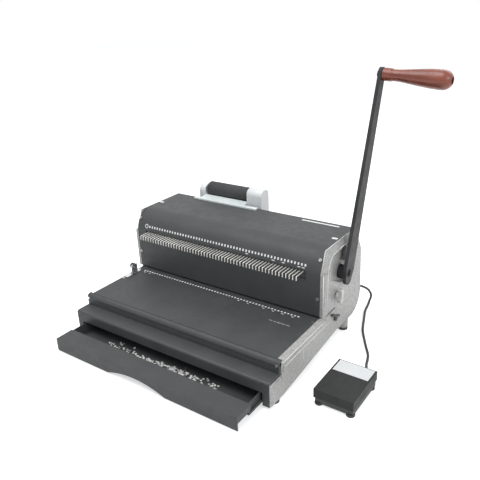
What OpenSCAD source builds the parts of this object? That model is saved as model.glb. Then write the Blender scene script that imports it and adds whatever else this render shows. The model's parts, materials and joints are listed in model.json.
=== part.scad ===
// Coil punching and binding machine with a side lever, a row of pull pins, a chip drawer,
// a powered coil roller on top and a foot pedal on a cord.
// Millimetres. +Z up, the front of the machine faces -Y, the lever is on the +X side.

/* [Body] */
// Distance between the outer faces of the two side castings
body_w = 406; // [404:1:430]
// Height of the flat top of the cover above the floor
cover_top = 181; // [181:1:190]

/* [Punching] */
// Number of punches, dies and pull pins
pin_count = 54; // [30:1:54]
// Spacing of the punches along the row
pin_pitch = 6.2865; // [5.5:0.0001:6.35]
// How far a pull pin sticks out in front of the cover
pin_reach = 20.6; // [14:0.1:24]
// Stroke of the punches
punch_stroke = 9.2; // [7:0.1:9.2]

/* [Lever] */
// Distance from the drive shaft to the grip
lever_len = 320; // [260:1:330]
// Backward lean of the lever at rest
lever_lean = 17.7; // [10:0.1:22]
// Length of the wooden grip
grip_len = 107; // [90:1:115]

/* [Drawer] */
// How far the drawer is pulled out at rest
drawer_out = 27; // [10:1:40]

/* [Pedal] */
// Width of the pedal
pedal_w = 62.5; // [50:0.5:70]
// Length of the pedal
pedal_len = 86; // [76:1:100]

/* [Hidden] */
$fn = 64;
half_w = body_w / 2;
cover_half = half_w - 7.5;
bed_half = half_w - 8.5;
plate_inner = cover_half - 4;
sheet = 1.6;

// side profile of the cover
corner_r = 38;
back_r = 130;
back_c = [29, cover_top - 88];
heel_r = 45;
heel_c = [108, 58];
cover_back = 153;
cover_bottom = 13;
seam_y = 124;

// throat and bed
bed_top = 66.4;
throat_top = 69.6;
throat_back = 43;
rail_front = -163;
rail_step = -128;
roll_y = -130;
roll_r = 7;
ledge_top = 46;
fascia_y = -164;

// side castings
face_x = half_w - 1;
skin_x = half_w - 1.5;
black_x = skin_x - 0.1;
rim = 6;
flange_top = 144;
foot_x = half_w - 8.5;
foot_r = 8.5;
front_foot_y = -141;
rear_foot_y = 93;
foot_h = 5;
pocket_depth = 5.4;

// punches
row_x = -2.5;
punch_y = 20;
punch_r = 2;
pull_z = 143;
pull_r = 1;
pull_fit = 1.06;
end_pins = 2;
bar_half = plate_inner - 5.5;
post_x = plate_inner - 11.5;
post_y = 24;

// drive shaft, cams and lever
shaft_y = 68;
shaft_z = 124;
shaft_r = 9;
cam_x = 120;
cam_r = 16;
cam_throw = 6;
cam_angle = 130;
hub_r = 12;
lever_in = half_w + 5.5;
lever_out = half_w + 11.5;
grip_dip = 3;
grip_gap = 1.2;
grip_at = [lever_out, shaft_y + lever_len * sin(lever_lean), shaft_z + lever_len * cos(lever_lean)];
bolt_r = 4;
grip_r = 15;

// drawer
flange_y = -198 - drawer_out;
tray_y = flange_y + 33;
tray_mid = tray_y + 132;
tray_back = tray_y + 234;
tray_wide = half_w - 18;
tray_narrow = half_w - 30.5;
drawer_half = half_w - 15;

// coil roller
roller_y = 150;
roller_z = cover_top + 14.5;
motor_y = 148;
motor_z = cover_top - 5;
housing_x0 = -31;
housing_x1 = 2;
housing_y0 = 133;
housing_y1 = 160;
housing_z = cover_top + 19;
housing_r = 11;
roller_gear_r = 5.5;
motor_gear_r = 2.75;

// depth control on the right casting
knob_y = 46;
knob_z = 91;
lock_y = 41;
lock_z = 50;

// side guide on the bed
guide_y = -23;
guide_rise = 10;

// pedal
pedal_x = 247;
pedal_y = -118;
pedal_mid = pedal_x + pedal_w / 2;
pedal_rear = pedal_y + pedal_len;
pedal_top = 28;
hinge_y = pedal_rear - 6;
hinge_z = 16;
plunger_y = hinge_y - 44;

// pedal cord
cord_r = 2.2;
cord_x = 184;
cord_z = 48;
cord_route = [
    [cord_x, 164, cord_z], [cord_x + 3, 174, 46], [cord_x + 10, 184, 40], [200, 193, 31], [203, 199, 18],
    [200, 199, 6], [202, 188, 2.4], [206, 166, 2.4], [212, 148, 2.4], [218, 131, 2.4],
    [229, 101, 2.4], [242, 77, 2.4], [256, 53, 2.4], [268, 33, 2.4], [pedal_mid - 2, 6, 4],
    [pedal_mid + 6, pedal_rear + 20, 7], [pedal_mid + 8, pedal_rear + 8, 8]];

// overall extents and the shared origin under the middle of the bounding box
x_min = -half_w;
x_max = lever_out + (grip_gap + grip_len - 1.25) * cos(grip_dip) + 6 * sin(grip_dip);
y_min = flange_y;
y_max = grip_at[1] + grip_r;
frame_shift = [-(x_min + x_max) / 2, -(y_min + y_max) / 2, 0];

function pin_at(i) = row_x + (i - (pin_count - 1) / 2) * pin_pitch;

// smooth route through the given points
function smooth(a, b, c, d, t) =
    0.5 * ((2 * b) + (c - a) * t + (2 * a - 5 * b + 4 * c - d) * t * t + (3 * b - 3 * c + d - a) * t * t * t);

function smooth_route(p, steps) = [
    for (i = [0:len(p) - 2])
        for (k = [0:steps - 1])
            smooth(p[max(i - 1, 0)], p[i], p[i + 1], p[min(i + 2, len(p) - 1)], k / steps),
    p[len(p) - 1]];

function unit(v) = v / norm(v);

function tube_ring(p, i, r, sides, side_axis) =
    let (t = unit(p[min(i + 1, len(p) - 1)] - p[max(i - 1, 0)]))
    let (n = unit(cross(t, side_axis)))
    let (b = cross(t, n))
    [for (s = [0:sides - 1]) p[i] + r * (cos(360 * s / sides) * n + sin(360 * s / sides) * b)];

// one closed tube along a route
module tube(p, r, sides, side_axis) {
    points = [for (i = [0:len(p) - 1]) each tube_ring(p, i, r, sides, side_axis)];
    walls = [for (i = [0:len(p) - 2]) for (s = [0:sides - 1]) each
        let (a = i * sides + s, b = i * sides + (s + 1) % sides)
        [[a, b, b + sides], [a, b + sides, a + sides]]];
    first = [for (s = [sides - 1:-1:0]) s];
    last = [for (s = [0:sides - 1]) (len(p) - 1) * sides + s];
    polyhedron(points, concat([first], walls, [last]));
}

// a compression spring standing on z0
module coil_spring(z0, z1, coil_r, wire_r, turns) {
    steps = 14 * turns;
    rise = z1 - z0 - 2 * wire_r;
    route = [for (i = [0:steps])
        [coil_r * cos(360 * i / 14), coil_r * sin(360 * i / 14), z0 + wire_r + rise * i / steps]];
    tube(route, wire_r * 0.98, 6, [0, 0, 1]);
}

// a side profile drawn as (y, z), pushed along X
module along_x(x0, x1) translate([x0, 0, 0]) rotate([90, 0, 90]) linear_extrude(x1 - x0) children();

// a front profile drawn as (x, z), pushed along Y
module along_y(y0, y1) translate([0, y1, 0]) rotate([90, 0, 0]) linear_extrude(y1 - y0) children();

module block(x0, x1, y0, y1, z0, z1) translate([x0, y0, z0]) cube([x1 - x0, y1 - y0, z1 - z0]);

module rod_x(r, x0, x1, y, z) translate([x0, y, z]) rotate([0, 90, 0]) cylinder(r = r, h = x1 - x0);

module rod_y(r, y0, y1, x, z) translate([x, y0, z]) rotate([-90, 0, 0]) cylinder(r = r, h = y1 - y0);

module both_sides() {
    children();
    mirror([1, 0, 0]) children();
}

// rear of the side profile, made smaller by t all round
module body_back(t) intersection() {
    translate([t, cover_bottom + t]) square([cover_back - 2 * t, cover_top - cover_bottom - 2 * t]);
    union() {
        translate(back_c) circle(back_r - t, $fn = 160);
        square([200, back_c[1]]);
    }
    union() {
        translate(heel_c) circle(heel_r - t);
        square([heel_c[0], 200]);
        translate([0, heel_c[1]]) square([200, 200]);
    }
}

// side profile of the covers, round at the top front
module body_profile(t) intersection() {
    body_back(t);
    union() {
        translate([corner_r, cover_top - corner_r]) circle(corner_r - t);
        translate([corner_r, 0]) square([200, 200]);
        square([200, cover_top - corner_r]);
    }
}

// inner outline of a side casting, cut off straight at the top front
module casting_profile() intersection() {
    body_back(0);
    polygon([[0, cover_bottom], [0, flange_top], [15, cover_top], [cover_back, cover_top],
        [cover_back, cover_bottom]]);
}

// outer face of a side casting, inside its wide bevel
module casting_face() hull() {
    polygon([[13, 20], [13, flange_top - 3], [19, 156], [29, 168], [54, 170], [92, 172], [92, 60]]);
    translate([116, cover_top - 50]) circle(26, $fn = 48);
    translate([108, 58]) circle(38, $fn = 48);
}

// full-thickness edge at the front of the tall panel
module front_flange() translate([0, 0, throat_top]) linear_extrude(flange_top - throat_top)
    polygon([[cover_half, 0], [half_w - 2, 0], [half_w, 3], [half_w, 12], [cover_half, 12]]);

// low rail beside the bed, with a sloping top and a bevel
module rail() intersection() {
    along_y(rail_step, 60) polygon([[bed_half, 4], [bed_half, bed_top], [skin_x, bed_top - 7.4],
        [half_w, bed_top - 7.4 - rim - 1], [half_w, 4]]);
    along_x(bed_half - 1, half_w + 1) polygon([[rail_step - 1, 5], [rail_step - 1, bed_top + 1],
        [45, bed_top + 1], [60, 52], [60, 5]]);
}

// bevel along a vertical edge that faces forward
module edge_cut(y, z0, z1) translate([0, 0, z0]) linear_extrude(z1 - z0) polygon([[skin_x, y],
    [half_w, y + rim], [half_w + 1, y + rim], [half_w + 1, y - 1], [skin_x, y - 1]]);

// boss above the rear foot, inside the outline of the casting
module foot_boss() translate([foot_x, rear_foot_y, foot_h]) {
    cylinder(r = foot_r, h = cover_bottom - foot_h);
    intersection() {
        cylinder(r = foot_r, h = 22);
        translate([cover_half - foot_x, -20, 0]) cube([10, 40, 30]);
    }
}

module pocket_outline() polygon([[24, 127], [25, 163], [32, 168], [102, 170], [100, 108], [70, 104], [40, 118]]);

// open space under the rail, which rises towards the back
module under_cut() along_x(bed_half - 1, half_w + 1)
    polygon([[-126, 5], [56, 23], [66, cover_bottom], [66, -1], [-126, -1]]);

// right-hand casting: tall panel and low rail in one piece, thin at the front end
module casting() difference() {
    union() {
        hull() {
            along_x(cover_half, cover_half + 0.3) casting_profile($fn = 48);
            along_x(face_x - 0.3, face_x) casting_face();
        }
        front_flange();
        rail();
        block(skin_x, half_w, rail_front, rail_step + 1, 5, ledge_top - 3);
        block(skin_x, half_w, rail_step - 3, rail_step + 1, ledge_top - 3, bed_top - 7.4);
    }
    under_cut();
    edge_cut(rail_front, 0, ledge_top - 3);
    edge_cut(rail_step - 3, ledge_top - 3, bed_top + 1);
    along_y(rail_front - 1, rail_step - 3) polygon([[skin_x, ledge_top - 3], [half_w, ledge_top - 3 - rim],
        [half_w + 1, ledge_top - 3 - rim], [half_w + 1, ledge_top], [skin_x, ledge_top]]);
    block(bed_half - 1, half_w + 1, -1, throat_back, bed_top, throat_top);
    block(bed_half - 1, cover_half, 5, 61, 0, bed_top + 1);
}

module left_casting() color("silver") translate(frame_shift) mirror([1, 0, 0]) {
    casting();
    foot_boss();
}

// right casting with the sloping pocket round the hub and a thin rib in it
module right_casting() color("silver") translate(frame_shift) {
    difference() {
        casting();
        intersection() {
            along_x(cover_half, half_w + 5) pocket_outline();
            translate([0, 0, 95]) linear_extrude(80) polygon([[half_w + 1, 20], [face_x, 22],
                [face_x - pocket_depth, 49], [face_x - pocket_depth, 120], [half_w + 1, 120]]);
        }
        rod_x(shaft_r + 0.5, cover_half - 1, half_w + 1, shaft_y, shaft_z);
        rod_x(3.4, cover_half - 1, half_w + 1, knob_y, knob_z);
        rod_x(3.05, cover_half - 1, half_w + 1, lock_y, lock_z, $fn = 32);
    }
    foot_boss();
    along_x(face_x - pocket_depth, face_x - 1) polygon([[77.5, 140], [79.5, 140], [84.5, 163], [82.5, 163]]);
}

module frame_plate() difference() {
    along_x(plate_inner, cover_half) polygon([[5, 30], [62, 30], [62, 14.6], [108, 14.6], [115, 30],
        [115, 166], [105, 172], [34, 172], [5, 146]]);
    block(plate_inner - 1, cover_half + 1, 4, throat_back + 1, bed_top, throat_top);
}

module left_frame_plate() color("dimgray") translate(frame_shift) mirror([1, 0, 0]) difference() {
    frame_plate();
    rod_x(13, plate_inner - 1, cover_half + 1, shaft_y, shaft_z);
}

module right_frame_plate() color("dimgray") translate(frame_shift) difference() {
    frame_plate();
    rod_x(13, plate_inner - 1, cover_half + 1, shaft_y, shaft_z);
    rod_x(3.05, plate_inner - 1, cover_half + 1, knob_y, knob_z, $fn = 32);
    rod_x(3.4, plate_inner - 1, cover_half + 1, lock_y, lock_z, $fn = 32);
}

module shell() difference() {
    along_x(-cover_half, cover_half) body_profile(0);
    along_x(-cover_half - 1, cover_half + 1) body_profile(sheet);
}

module top_cover() color([0.2, 0.2, 0.21]) translate(frame_shift) difference() {
    shell();
    block(-half_w, half_w, -1, 200, 0, throat_top);
    block(-half_w, half_w, seam_y, 200, 0, cover_top + 1);
    block(pin_at(0) - 6, pin_at(pin_count - 1) + 6, -1, sheet + 1, pull_z - punch_stroke - 3, pull_z + 3);
}

module rear_cover() color([0.2, 0.2, 0.21]) translate(frame_shift) difference() {
    shell();
    block(-half_w, half_w, -1, seam_y, heel_c[1], cover_top + 1);
    block(-half_w, half_w, -1, heel_c[0], 0, heel_c[1] + 1);
    block(-160, -132, cover_back - 5, cover_back + 1, 62, 84);
    block(-116, -100, cover_back - 5, cover_back + 1, 63, 87);
    rod_y(4, cover_back - 6, cover_back + 1, cord_x, cord_z);
}

// bed with a rolled front edge, wider than the plate, and one shallow groove
module bed_plate() color([0.2, 0.2, 0.21]) translate(frame_shift) difference() {
    union() {
        block(-bed_half, bed_half, roll_y, 5, bed_top - 3, bed_top);
        along_x(-black_x, black_x) difference() {
            translate([roll_y, bed_top - roll_r]) circle(roll_r);
            translate([roll_y, bed_top - roll_r]) circle(roll_r - 2.5);
            translate([roll_y - 4.5, bed_top - 15]) square([20, 8]);
            translate([roll_y, bed_top - 15]) square([20, 12]);
            translate([roll_y - 8, bed_top - 20]) square([20, 10]);
            translate([rail_step - 0.1, bed_top - 20]) square([20, 30]);
        }
    }
    block(-half_w, half_w, roll_y, roll_y + 1.2, bed_top - 0.6, bed_top + 1);
}

// stepped front below the bed, open behind, with a cheek and a foot tab at each end
module front_ledge() color([0.2, 0.2, 0.21]) translate(frame_shift) {
    along_x(-black_x, black_x) {
        translate([roll_y - 6.5, ledge_top - 2]) square([2, bed_top - 10 - ledge_top + 2]);
        translate([fascia_y + 4, ledge_top - 2]) square([roll_y - 4.5 - fascia_y - 4, 2]);
        translate([fascia_y + 4, ledge_top - 4]) difference() {
            circle(4);
            circle(2);
            translate([0, -6]) square([6, 12]);
            translate([-6, -6]) square([12, 6]);
        }
        translate([fascia_y, 27]) square([2, ledge_top - 31]);
    }
    both_sides() {
        block(bed_half + 0.1, black_x, roll_y - 5, rail_step - 0.1, ledge_top - 2, bed_top - 10);
        block(drawer_half + 1.6, black_x, fascia_y, fascia_y + 2, foot_h, ledge_top - 3);
        block(drawer_half + 1.6, drawer_half + 3.6, fascia_y, rail_step - 0.2, foot_h, ledge_top - 1);
        block(drawer_half + 1.6, black_x, fascia_y, rail_step - 0.2, foot_h, foot_h + 2);
    }
}

// floor of the rear half with a front wall that stops the drawer
module base_pan() color([0.2, 0.2, 0.21]) translate(frame_shift)
    along_x(-plate_inner + 0.1, plate_inner - 0.1) {
        translate([72, cover_bottom]) square([heel_c[0] - 72, sheet]);
        translate([72, cover_bottom + sheet]) square([sheet, 30]);
    }

module drawer_runners() color("dimgray") translate(frame_shift) both_sides() {
    block(tray_wide + 2, bed_half, rail_step, -46, 9, 11);
    block(bed_half - 4, bed_half, rail_step, -46, 11, 44);
    block(tray_narrow + 1.5, plate_inner, -32, 71, 21, 23);
    block(plate_inner, bed_half, -32, 5, 21, 44);
}

module at_punches() for (i = [0:pin_count - 1]) translate([pin_at(i), punch_y, 0]) children();

module die_plate() color("lightslategray") translate(frame_shift) difference() {
    block(-plate_inner, plate_inner, 5, 44, bed_top - 10, bed_top);
    at_punches() translate([0, 0, bed_top - 11]) cylinder(r = punch_r + 0.05, h = 12, $fn = 24);
}

module punch_guide() color("lightslategray") translate(frame_shift) difference() {
    block(-plate_inner, plate_inner, 8, 44, throat_top, 84);
    at_punches() translate([0, 0, throat_top - 1]) cylinder(r = punch_r + 0.05, h = 16, $fn = 24);
}

module guide_posts() color("gainsboro") translate(frame_shift) both_sides()
    translate([post_x, post_y, 84]) cylinder(r = 4, h = 84);

module shaft_bushes() color("peru") translate(frame_shift) both_sides() difference() {
    rod_x(13, plate_inner, cover_half, shaft_y, shaft_z);
    rod_x(shaft_r + 0.05, plate_inner - 1, cover_half + 1, shaft_y, shaft_z);
}

module rubber_feet() color([0.08, 0.08, 0.08]) translate(frame_shift) both_sides() {
    for (y = [front_foot_y, rear_foot_y]) translate([foot_x, y, 0]) cylinder(r = foot_r, h = foot_h);
}

// bright screw heads of the cover: low ones, ones on the curve and flat pads on top
module cover_screws() color("whitesmoke") translate(frame_shift) both_sides() {
    rod_y(2.6, -1.4, 0, cover_half - 4, 101);
    translate([cover_half - 4, corner_r, cover_top - corner_r]) rotate([-38, 0, 0])
        rod_y(2.6, -corner_r - 1.8, -corner_r, 0, 0);
    translate([cover_half - 8, 64.5, cover_top]) linear_extrude(1) {
        square([4.5, 6], center = true);
        for (x = [-2.25, 2.25]) translate([x, 0]) circle(3);
    }
}

module bed_screws() color("whitesmoke") translate(frame_shift) both_sides() {
    for (y = [-57, -13]) translate([bed_half - 5, y, bed_top]) cylinder(r = 2.6, h = 0.8);
    rod_y(2.2, roll_y - roll_r - 1, roll_y - roll_r, black_x - 3.5, bed_top - roll_r);
}

module name_strip() color("gainsboro") translate(frame_shift)
    block(100, 172, 112, 116, cover_top, cover_top + 0.4);

module drive_shaft() color("gray") translate(frame_shift)
    rod_x(shaft_r, -cover_half + 0.6, lever_in, shaft_y, shaft_z);

module drive_cams() color("gray") translate(frame_shift) both_sides() difference() {
    rod_x(cam_r, cam_x - 6, cam_x + 6,
        shaft_y + cam_throw * cos(cam_angle), shaft_z + cam_throw * sin(cam_angle));
    rod_x(shaft_r, cam_x - 7, cam_x + 7, shaft_y, shaft_z);
}

module grip_frame() translate(grip_at) rotate([0, 90 + grip_dip, 0]) children();

// flat tapered bar, wide above the hub and narrow at the grip, with a hub on its inner side
module punch_lever() color([0.15, 0.15, 0.16]) translate(frame_shift) difference() {
    union() {
        translate([0, shaft_y, shaft_z]) rotate([-lever_lean, 0, 0]) along_x(lever_in, lever_out) {
            polygon([[-11, -9], [11, -9], [15.5, 5], [13, 100], [8.2, lever_len + 2.7],
                [-8.2, lever_len + 2.7], [-13, 100], [-15.5, 5]]);
            translate([0, -9]) circle(11);
            translate([0, lever_len + 2.7]) circle(8.2);
        }
        rod_x(hub_r, face_x - pocket_depth + 0.6, lever_in, shaft_y, shaft_z);
    }
    rod_x(shaft_r, cover_half, lever_in, shaft_y, shaft_z);
    grip_frame() translate([0, 0, -12]) cylinder(r = bolt_r, h = 24);
}

module lever_bolt() color("dimgray") translate(frame_shift) {
    rod_x(7, lever_out, lever_out + 1.2, shaft_y, shaft_z);
    rod_x(5, lever_out + 1.2, lever_out + 3, shaft_y, shaft_z, $fn = 32);
}

module grip_bolt() color("dimgray") translate(frame_shift) grip_frame() {
    translate([0, 0, -8.5]) cylinder(r = 5.2, h = 2.2);
    translate([0, 0, -6.3]) cylinder(r = bolt_r, h = grip_len - 2);
    translate([0, 0, grip_len - 8.3]) cylinder(r = 5.2, h = 3);
}

// turned handle: collar, slight neck, full belly and a rounded end
module wooden_grip() color("sienna") translate(frame_shift) grip_frame() translate([0, 0, grip_gap])
    difference() {
        rotate_extrude() difference() {
            union() {
                square([10, 13]);
                polygon([[0, 12], [9.6, 13], [8.9, 18], [9.2, 26], [10.8, 40], [12.9, 58], [14.4, 74],
                    [grip_r, 86], [grip_r, grip_len - grip_r], [0, grip_len - grip_r]]);
                translate([0, grip_len - grip_r]) circle(grip_r);
            }
            translate([-20, -20]) square([20, grip_len + 40]);
            translate([0, grip_len - 1.25]) square([20, 5]);
        }
        translate([0, 0, -1]) cylinder(r = bolt_r + 0.05, h = grip_len + 2);
        translate([0, 0, grip_len - 10]) cylinder(r = 6, h = 20);
    }

// cross bar that drives the punches, with two arms under the cams
module pressure_bar() color("slategray") translate(frame_shift) difference() {
    union() {
        block(-bar_half, bar_half, 10, 34, 104, 156);
        both_sides() block(cam_x - 8, cam_x + 8, 34, 76, 104, 112);
    }
    at_punches() translate([0, 0, 103]) cylinder(r = punch_r, h = 54, $fn = 24);
    for (i = [0:pin_count - 1]) rod_y(pull_fit, 9, 27, pin_at(i), pull_z, $fn = 24);
    both_sides() translate([post_x, post_y, 103]) cylinder(r = 4.06, h = 54);
}

module punch_pins() color("gainsboro") translate(frame_shift) at_punches()
    translate([0, 0, 70]) cylinder(r = punch_r, h = pull_z - pull_r - 0.2 - 70, $fn = 24);

// thin plate behind the cover slot that carries the pull pins
module pin_carrier() color("dimgray") translate(frame_shift) difference() {
    union() {
        block(pin_at(0) - 14, pin_at(pin_count - 1) + 14, 3.2, 5.2, 112, 153);
        for (z = [112, 151]) block(pin_at(0) - 14, pin_at(pin_count - 1) + 14, 5.2, 10, z, z + 2);
    }
    for (i = [0:pin_count - 1]) rod_y(pull_fit, 3, 6, pin_at(i), pull_z, $fn = 24);
}

module return_springs() color("gainsboro") translate(frame_shift) both_sides()
    translate([post_x, post_y, 0]) coil_spring(84, 104, 5.5, 0.8, 5);

// headless pin bent down at the front into a small hook
module pull_pin() {
    rod_y(pull_r, -pin_reach, 24, 0, pull_z, $fn = 24);
    translate([0, -pin_reach, pull_z]) sphere(pull_r, $fn = 24);
    translate([0, -pin_reach, pull_z - 6.5]) cylinder(r = pull_r, h = 6.5, $fn = 24);
}

module pull_row(from, to) for (i = [from:to]) translate([pin_at(i), 0, 0]) pull_pin();

module pull_pins() color("white") translate(frame_shift) pull_row(end_pins, pin_count - end_pins - 1);

module left_pull_pins() color("white") translate(frame_shift) pull_row(0, end_pins - 1);

module right_pull_pins() color("white") translate(frame_shift) pull_row(pin_count - end_pins, pin_count - 1);

module tray_outline(t) polygon([[-tray_wide + t, tray_y + t], [tray_wide - t, tray_y + t],
    [tray_wide - t, tray_mid - t], [tray_narrow - t, tray_mid - t], [tray_narrow - t, tray_back - t],
    [-tray_narrow + t, tray_back - t], [-tray_narrow + t, tray_mid - t], [-tray_wide + t, tray_mid - t]]);

// chip tray with a wide front lip and a finger notch
module chip_drawer() color([0.17, 0.17, 0.18]) translate(frame_shift) {
    difference() {
        translate([0, 0, 4]) linear_extrude(21) tray_outline(0);
        translate([0, 0, 5.5]) linear_extrude(21) tray_outline(1.5);
    }
    both_sides() {
        block(tray_wide, tray_wide + 4, tray_y, tray_mid, 11.6, 13.1);
        block(tray_narrow, tray_narrow + 5, tray_mid, tray_back, 23.5, 25);
        block(drawer_half - 1.5, drawer_half, flange_y + 1.5, tray_y, 14, 23.5);
    }
    block(-drawer_half, drawer_half, flange_y, tray_y, 23.5, 25);
    difference() {
        block(-drawer_half, drawer_half, flange_y, flange_y + 1.5, 2, 23.5);
        rod_y(169, flange_y - 1, flange_y + 3, -6, -156, $fn = 200);
    }
}

// bar knob with a shaft and an eccentric inside the casting
module depth_knob() color([0.6, 0.6, 0.58]) translate(frame_shift) {
    rod_x(3, plate_inner - 6, half_w + 0.6, knob_y, knob_z, $fn = 32);
    rod_x(5, plate_inner - 6, plate_inner - 1.5, knob_y, knob_z + 1.5);
    rod_x(6.5, half_w + 0.6, half_w + 4, knob_y, knob_z);
    translate([0, knob_y, knob_z]) rotate([-12, 0, 0]) along_x(half_w + 4, half_w + 10.5) {
        square([7, 15], center = true);
        for (z = [-7.5, 7.5]) translate([0, z]) circle(4.6);
    }
}

// bar in the throat that the sheets are pushed against
module depth_stop() color("lightslategray") translate(frame_shift) {
    block(-bar_half, bar_half, 27, 41, 66.8, 69.2);
    block(plate_inner - 10, plate_inner - 1.5, 41, knob_y + 8.5, 66.8, 69.2);
    block(plate_inner - 6, plate_inner - 1.5, knob_y + 5.5, knob_y + 8.5, 69.2, knob_z + 7);
}

// small turn lever below the throat that locks the stop
module lock_lever() color([0.12, 0.12, 0.12]) translate(frame_shift) {
    rod_x(3, plate_inner, half_w + 0.4, lock_y, lock_z, $fn = 32);
    translate([0, lock_y, lock_z]) along_x(half_w + 0.4, half_w + 3.4) {
        circle(5);
        translate([0, 5]) rotate(-26) square([30, 3.6], center = true);
    }
}

// bright angle at the left end of the bed with a clamp screw
module side_guide() color("whitesmoke") translate(frame_shift) difference() {
    union() {
        block(-bed_half + 1, -bed_half + 12, -53.5, -17, bed_top + 0.4, bed_top + 1.9);
        block(-bed_half + 1, -bed_half + 2.5, -32, -17, bed_top + 1.9, bed_top + 14);
    }
    rod_x(2.05, -bed_half, -bed_half + 4, guide_y, bed_top + guide_rise, $fn = 32);
}

module guide_knob() color([0.15, 0.15, 0.15]) translate(frame_shift) {
    rod_x(5.5, -bed_half - 5.5, -bed_half + 0.5, guide_y, bed_top + guide_rise);
    rod_x(2, -bed_half + 0.5, -bed_half + 4.5, guide_y, bed_top + guide_rise, $fn = 32);
}

// pale trough and cradle under the coil roller
module roller_trough() color("gainsboro") translate(frame_shift) {
    block(-145, 1, 113, 122, cover_top, cover_top + 3);
    along_x(-133.8, housing_x0 - 0.2) difference() {
        polygon([[122, cover_top], [122, cover_top + 3], [166, cover_top + 6], [162, cover_top - 50],
            [130, cover_top - 50]]);
        translate([roller_y, roller_z]) circle(15.5);
        body_profile(0);
    }
}

module end_bracket_outline() difference() {
    union() {
        translate([136, cover_top - 50]) square([28, 60]);
        translate([148, cover_top + 10]) circle(12);
        translate([152, cover_top + 10]) circle(12);
        translate([148, cover_top + 10]) square([4, 12]);
    }
    body_profile(0);
}

module roller_bracket() color("silver") translate(frame_shift) difference() {
    along_x(-148, -134) end_bracket_outline();
    rod_x(3.05, -144, -133, roller_y, roller_z, $fn = 32);
}

module housing_outline(t) difference() {
    union() {
        translate([housing_y0 + t, cover_top - 40 + t])
            square([housing_y1 - housing_y0 - 2 * t, housing_z + 40 - cover_top - t]);
        translate([housing_y0 + housing_r, housing_z]) circle(housing_r - t);
        translate([housing_y1 - housing_r, housing_z]) circle(housing_r - t);
        translate([housing_y0 + housing_r, housing_z])
            square([housing_y1 - housing_y0 - 2 * housing_r, housing_r - t]);
    }
    body_profile(-t);
}

// hollow housing for the motor and belt
module motor_housing() color("silver") translate(frame_shift) difference() {
    along_x(housing_x0, housing_x1) housing_outline(0);
    along_x(housing_x0 + 2, housing_x1 - 2) housing_outline(2);
    rod_x(3.05, housing_x0 - 1, housing_x0 + 3, roller_y, roller_z, $fn = 32);
}

// motor can, held to the end wall
module roller_motor() color("gray") translate(frame_shift) {
    difference() {
        rod_x(8, housing_x0 + 12, housing_x1 - 4, motor_y, motor_z);
        rod_x(6.3, housing_x0 + 13, housing_x1 - 5, motor_y, motor_z);
        rod_x(1.55, housing_x0 + 11, housing_x0 + 14, motor_y, motor_z, $fn = 32);
    }
    block(housing_x1 - 4, housing_x1 - 2, motor_y - 8, motor_y + 8, motor_z - 6, motor_z + 6);
}

// armature on the motor's shaft
module motor_core() color("gray") translate(frame_shift)
    rod_x(6, housing_x0 + 13.5, housing_x1 - 5.5, motor_y, motor_z);

module roller_shaft() color("gainsboro") translate(frame_shift)
    rod_x(3, -143, housing_x0 + 11, roller_y, roller_z, $fn = 32);

module roller_sleeve() color([0.1, 0.1, 0.1]) translate(frame_shift) difference() {
    rod_x(14, -130, housing_x0 - 1, roller_y, roller_z);
    rod_x(3, -131, housing_x0, roller_y, roller_z, $fn = 32);
}

module roller_pulley() color("gainsboro") translate(frame_shift) difference() {
    rod_x(roller_gear_r, housing_x0 + 4, housing_x0 + 9, roller_y, roller_z);
    rod_x(3, housing_x0 + 3, housing_x0 + 10, roller_y, roller_z, $fn = 32);
}

module motor_pulley() color("gainsboro") translate(frame_shift) {
    rod_x(motor_gear_r, housing_x0 + 4, housing_x0 + 9, motor_y, motor_z);
    rod_x(1.5, housing_x0 + 9, housing_x0 + 13.5, motor_y, motor_z, $fn = 32);
}

module belt_outline(t) hull() {
    translate([roller_y, roller_z]) circle(roller_gear_r + 0.3 + t, $fn = 32);
    translate([motor_y, motor_z]) circle(motor_gear_r + 0.3 + t, $fn = 32);
}

module drive_belt() color([0.1, 0.1, 0.1]) translate(frame_shift)
    along_x(housing_x0 + 5, housing_x0 + 8) difference() {
        belt_outline(1);
        belt_outline(0);
    }

// three-blade mains socket set into the rear cover
module power_inlet() color([0.1, 0.1, 0.1]) translate(frame_shift) {
    difference() {
        union() {
            block(-160, -132, 136, cover_back, 62, 84);
            block(-164, -128, cover_back, cover_back + 2, 59, 87);
        }
        block(-157, -135, 140, cover_back + 3, 64, 82);
    }
    for (x = [-152, -146, -140]) block(x - 1, x + 1, 140, cover_back - 3, 66, 74);
}

module switch_frame() color([0.1, 0.1, 0.1]) translate(frame_shift) difference() {
    block(-119, -97, cover_back, cover_back + 1.5, 60, 90);
    block(-116, -100, cover_back - 1, cover_back + 3, 63, 87);
}

module power_rocker() color([0.1, 0.1, 0.1]) translate(frame_shift)
    translate([-108, cover_back, 75]) rotate([-8, 0, 0]) {
        block(-6.5, 6.5, -4, 3, -10, 10);
        rod_x(1.5, -7.6, 7.6, 0, 0, $fn = 32);
    }

module cord_gland() color([0.1, 0.1, 0.1]) translate(frame_shift) difference() {
    union() {
        rod_y(4, cover_back - 4, cover_back, cord_x, cord_z);
        rod_y(6, cover_back, cover_back + 11, cord_x, cord_z);
    }
    rod_y(cord_r, cover_back - 5, cover_back + 10, cord_x, cord_z, $fn = 32);
}

module pedal_cord() color([0.1, 0.1, 0.1]) translate(frame_shift)
    tube(smooth_route(cord_route, 2), cord_r, 8, unit([1, 0, 0.2]));

module pedal_gland() color([0.1, 0.1, 0.1]) translate(frame_shift)
    rod_y(4.5, pedal_rear - 1.5, pedal_rear + 8, pedal_mid + 8, 8);

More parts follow.
